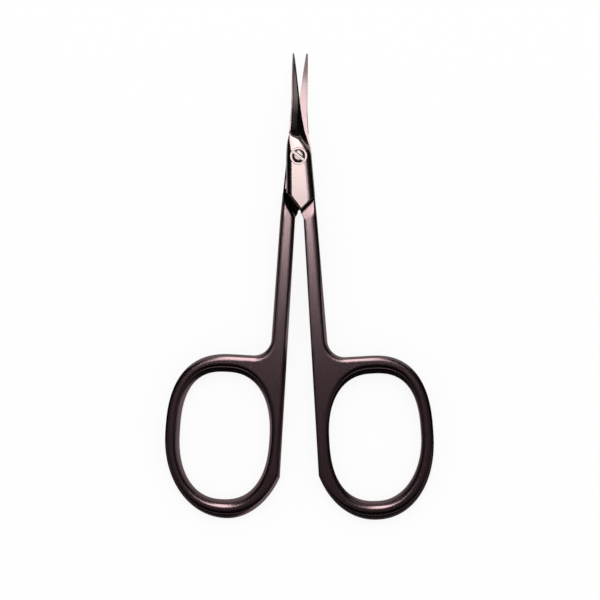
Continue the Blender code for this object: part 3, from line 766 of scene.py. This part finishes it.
def slotCutter():
    # A square slot whose two lips are broken, the upper one more.
    s, high = screw, joint["cutPast"]
    top = joint["thickness"] + s["proud"] + s["dome"]
    floor, half = top - s["slotDepth"], s["slotWidth"] / 2
    (low, up), rise = s["slotLips"], s["lipRise"]
    section = [
        (-half, floor), (half, floor), (half, top - low * rise),
        (half + low + high, top + high * rise), (-half - up - high, top + high * rise),
        (-half, top - up * rise),
    ]
    return sweptCutter("slot", (-s["head"], 0), (s["head"], 0), section, s["slotPast"])


# Finishes: colour, roughness, the fine grain's turn, stretch and depth, how much the tone wanders,
# and the share of that which follows the grain's streaks, the rest being slow patches
finish = {
    "coat": {
        "colour": (0.125, 0.086, 0.09), "roughness": 0.165,
        "turn": 0, "stretch": (3, 0.8, 3), "depth": 0.0002 * mm, "wander": 0.07, "streaks": 0.2,
    },
    "ground": {
        "colour": (0.165, 0.13, 0.126), "roughness": 0.17, "turn": math.radians(35),
        "stretch": (0.5, 5, 5), "depth": 0.0004 * mm, "wander": 0.12, "streaks": 0.7,
    },
    # The rear blade's ground finish is the front one's grain in a darker colour: painted shade,
    # which tones down its reflection of the lamps
    "rearGroundPaintedShade": {
        "colour": (0.125, 0.092, 0.094), "roughness": 0.17, "turn": math.radians(35),
        "stretch": (0.5, 5, 5), "depth": 0.0004 * mm, "wander": 0.12, "streaks": 0.7,
    },
    "steel": {
        "colour": (0.148, 0.124, 0.117), "roughness": 0.18,
        "turn": 0, "stretch": (2, 2, 2), "depth": 0.0003 * mm, "wander": 0.1, "streaks": 0.4,
    },
    # Size and detail of the fine grain and of the slow patches
    "grain": (1 * mm, 4),
    "patches": (4 * mm, 3),
    # The roughness where the grain is lowest and highest, as shares of the finish's own
    "glossShares": (0.9, 1.12),
}


def addNode(tree, kind, inputs, **settings):
    # One shader node, each input set to a value or linked to another node's output.
    made = tree.nodes.new(kind)
    for name, value in settings.items():
        setattr(made, name, value)
    for name, value in inputs.items():
        if isinstance(value, bpy.types.NodeSocket):
            tree.links.new(value, made.inputs[name])
        else:
            made.inputs[name].default_value = value
    return made


def metalMaterial(name):
    # Ground metal: fine grain stretched along one way, a slow change of tone, and gloss to match.
    f = finish[name]
    made = bpy.data.materials.new(name + "Metal")
    made.use_nodes = True
    tree = made.node_tree
    shader = tree.nodes["Principled BSDF"]
    shader.inputs["Metallic"].default_value = 1
    coords = addNode(tree, "ShaderNodeTexCoord", {}).outputs["Object"]
    place = addNode(
        tree, "ShaderNodeMapping",
        {"Vector": coords, "Rotation": (0, 0, f["turn"]), "Scale": f["stretch"]},
    ).outputs["Vector"]
    grain, patches = (
        addNode(
            tree, "ShaderNodeTexNoise", {"Vector": way, "Scale": 1 / size, "Detail": detail}
        ).outputs["Fac"]
        for way, (size, detail) in ((place, finish["grain"]), (coords, finish["patches"]))
    )
    dark, pale = ((*[c * (1 + sign * f["wander"]) for c in f["colour"]], 1) for sign in (-1, 1))
    both = addNode(tree, "ShaderNodeMix", {"Factor": f["streaks"], "A": patches, "B": grain})
    tone = addNode(tree, "ShaderNodeMix", {"Factor": both.outputs["Result"]}, data_type="RGBA")
    tone.inputs["A"].default_value, tone.inputs["B"].default_value = dark, pale
    low, high = (f["roughness"] * share for share in finish["glossShares"])
    gloss = addNode(tree, "ShaderNodeMapRange", {"Value": grain, "To Min": low, "To Max": high})
    relief = addNode(
        tree, "ShaderNodeBump", {"Height": grain, "Strength": 1, "Distance": f["depth"]}
    )
    tree.links.new(tone.outputs["Result"], shader.inputs["Base Color"])
    tree.links.new(gloss.outputs["Result"], shader.inputs["Roughness"])
    tree.links.new(relief.outputs["Normal"], shader.inputs["Normal"])
    return made


coatMetal, groundMetal, rearGroundPaintedShadeMetal, steelMetal = (
    metalMaterial(name) for name in ("coat", "ground", "rearGroundPaintedShade", "steel")
)
print("materials made")

arms = (
    (1, "front", "front_arm", "front_arm_metal", groundMetal),
    # The rear arm's blade wears the darker copy of the ground finish, which is painted shade
    (-1, "rear", "rear_arm", "rear_arm_metal", rearGroundPaintedShadeMetal),
)
for side, prefix, node, slotName, bladeMetal in arms:
    bladePiece = addPiece(prefix + "Blade", loftMesh(prefix + "Blade", bladeSections(side)))
    carve(bladePiece, heelCutters(side) + [recessCutter(side)])
    dressArm(bladePiece, side, node, bladeMetal)
    handlePiece = addPiece(prefix + "Handle", handleMesh(side))
    carve(handlePiece, handleCutters(side))
    dressArm(handlePiece, side, node, coatMetal)

screwPiece = addPiece("slottedScrew", screwMesh())
carve(screwPiece, [slotCutter()])
screwPiece.data.name = "slottedScrew"
screwPiece.data.transform(Matrix.Rotation(screw["slotAngle"], 4, "Z"))
screwPiece.data.shade_smooth()
screwPiece.data.set_sharp_from_angle(angle=joint["sharpAbove"])
screwPiece.data.materials.clear()
screwPiece.data.materials.append(steelMetal)
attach(screwPiece, "rear_arm")
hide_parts("pivot_screw")
print("piece made: slottedScrew")

# Camera, straight above, as the photograph. A pixel is this wide at the arms' middle height.
pixel = 0.1935 * mm
camera = {
    "distance": 600 * mm,
    "middleHeight": 1.75 * mm,
    "pivotPixel": (298.6, 156.3),
    "imageSize": 600,
    "sensor": 36.0,
    "clip": (0.01, 20),
}
cameraData = bpy.data.cameras.new("photoCamera")
cameraObject = bpy.data.objects.new("photoCamera", cameraData)
bpy.context.scene.collection.objects.link(cameraObject)
half = camera["imageSize"] / 2
cameraObject.location = (
    (half - camera["pivotPixel"][0]) * pixel,
    (camera["pivotPixel"][1] - half) * pixel,
    camera["distance"] + camera["middleHeight"],
)
cameraData.sensor_width = camera["sensor"]
cameraData.lens = camera["sensor"] * camera["distance"] / (camera["imageSize"] * pixel)
cameraData.clip_start, cameraData.clip_end = camera["clip"]
bpy.context.scene.camera = cameraObject
print("camera set")

# Stage: pale floor under tips and rings, a strip light over the tips, a dim glow to its right, and
# two cards that only the metal shows: a low white one behind the tips, a dim arc behind the rings
stage = {
    "floorSize": 6.0,
    "floorTilt": math.radians(1.65),
    "floorHeight": -1.75 * mm,
    "floorColour": 0.9,
    "floorRoughness": 0.9,
    "floorGlow": 0.87,
    "lampHeight": 640 * mm,
    # Left and right ends, near and far ends, radiance, and colour. A lamp's energy is its radiance
    # times its area times pi.
    "lamps": {
        "strip": ((-50 * mm, 40 * mm), (4 * mm, 440 * mm), 10.0, (1, 1, 1)),
        "tipGlow": ((-50 * mm, 40 * mm), (445 * mm, 800 * mm), 3.5, (1, 1, 1)),
        "roomGlow": ((-300 * mm, 300 * mm), (-220 * mm, 0), 0.11, (1, 0.72, 0.86)),
        "sideGlow": ((290 * mm, 440 * mm), (265 * mm, 600 * mm), 1.3, (1, 1, 1)),
    },
    "cardDistance": 500 * mm,
    "cardHalfWidth": 500 * mm,
    "cardHeights": (-100 * mm, 150 * mm),
    "arcFrom": math.radians(50),
    "arcTo": math.radians(64),
    "arcHalfTurn": math.radians(80),
    "arcRadius": 900 * mm,
    "arcColumns": 33,
    "arcGlow": 0.8,
    "daylight": 0.8,
    "reflectedRoom": 0.015,
}


def stagePlane(name, corners, material):
    # One flat face through four corners, which isn't part of the object.
    mesh = bpy.data.meshes.new(name)
    mesh.from_pydata(corners, [], [(0, 1, 2, 3)])
    plane = addPiece(name, mesh)
    mesh.materials.append(material)
    return plane


def stageMaterial(name, colour, glow):
    # Matt, and white to the camera and in reflections by a share, so that a shadow stays.
    made = bpy.data.materials.new(name)
    made.use_nodes = True
    tree = made.node_tree
    shader, output = tree.nodes["Principled BSDF"], tree.nodes["Material Output"]
    shader.inputs["Base Color"].default_value = (colour, colour, colour, 1)
    shader.inputs["Roughness"].default_value = stage["floorRoughness"]
    white = addNode(tree, "ShaderNodeEmission", {"Color": (1, 1, 1, 1)}).outputs["Emission"]
    path = addNode(tree, "ShaderNodeLightPath", {}).outputs
    rays = {0: path["Is Camera Ray"], 1: path["Is Glossy Ray"]}
    seen = addNode(tree, "ShaderNodeMath", rays, operation="ADD").outputs[0]
    share = addNode(tree, "ShaderNodeMath", {0: seen, 1: glow}, operation="MULTIPLY").outputs[0]
    mix = addNode(
        tree, "ShaderNodeMixShader", {"Fac": share, 1: shader.outputs["BSDF"], 2: white}
    )
    tree.links.new(mix.outputs["Shader"], output.inputs["Surface"])
    return made


size = stage["floorSize"] / 2
rise = math.tan(stage["floorTilt"]) * size
near, far = stage["floorHeight"] + rise, stage["floorHeight"] - rise
stagePlane(
    "floor", [(-size, -size, near), (size, -size, near), (size, size, far), (-size, size, far)],
    stageMaterial("paleFloor", stage["floorColour"], stage["floorGlow"]),
)
wide, away, (low, high) = stage["cardHalfWidth"], stage["cardDistance"], stage["cardHeights"]
card = stagePlane(
    "whiteCard", [(-wide, away, low), (wide, away, low), (wide, away, high), (-wide, away, high)],
    stageMaterial("whiteCard", stage["floorColour"], 1),
)
# The arc: part of a sphere's zone, at two slopes from straight up
columns = stage["arcColumns"]
turned = np.linspace(-1, 1, columns) * stage["arcHalfTurn"] - math.pi / 2
slopes = np.array([stage["arcFrom"], stage["arcTo"]])[:, None]
level, up = np.sin(slopes), np.cos(slopes) + 0 * turned
zone = np.stack([level * np.cos(turned), level * np.sin(turned), up], axis=2)
quads = np.arange(columns - 1)[:, None] + np.array([0, 1, columns + 1, columns])
arcMesh = bpy.data.meshes.new("dimArc")
arcMesh.from_pydata((zone.reshape(-1, 3) * stage["arcRadius"]).tolist(), [], quads.tolist())
arcMesh.materials.append(stageMaterial("dimArc", 0, stage["arcGlow"]))
arc = addPiece("dimArc", arcMesh)
for hidden in (card, arc):
    hidden.visible_camera = False
    hidden.visible_shadow = False
    hidden.visible_diffuse = False

for name, ((left, right), (near, end), radiance, colour) in stage["lamps"].items():
    lamp = bpy.data.lights.new(name, "AREA")
    lamp.shape, lamp.color = "RECTANGLE", colour
    lamp.size, lamp.size_y = right - left, end - near
    lamp.energy = radiance * math.pi * lamp.size * lamp.size_y
    lampObject = bpy.data.objects.new(name, lamp)
    bpy.context.scene.collection.objects.link(lampObject)
    lampObject.location = ((left + right) / 2, (near + end) / 2, stage["lampHeight"])
    lampObject.visible_camera = False

world = bpy.data.worlds.new("studio")
world.use_nodes = True
bpy.context.scene.world = world
# White to the camera, almost black in reflections, soft daylight for the rest
tree = world.node_tree
back = tree.nodes["Background"]
back.inputs["Color"].default_value = (1, 1, 1, 1)
path = addNode(tree, "ShaderNodeLightPath", {}).outputs
shown = addNode(
    tree, "ShaderNodeMapRange",
    {"Value": path["Is Camera Ray"], "To Min": stage["daylight"], "To Max": 1},
)
reflected = addNode(
    tree, "ShaderNodeMix",
    {"Factor": path["Is Glossy Ray"], "A": shown.outputs["Result"], "B": stage["reflectedRoom"]},
)
tree.links.new(reflected.outputs["Result"], back.inputs["Strength"])
bpy.context.scene.view_settings.view_transform = "Standard"
print("stage made")
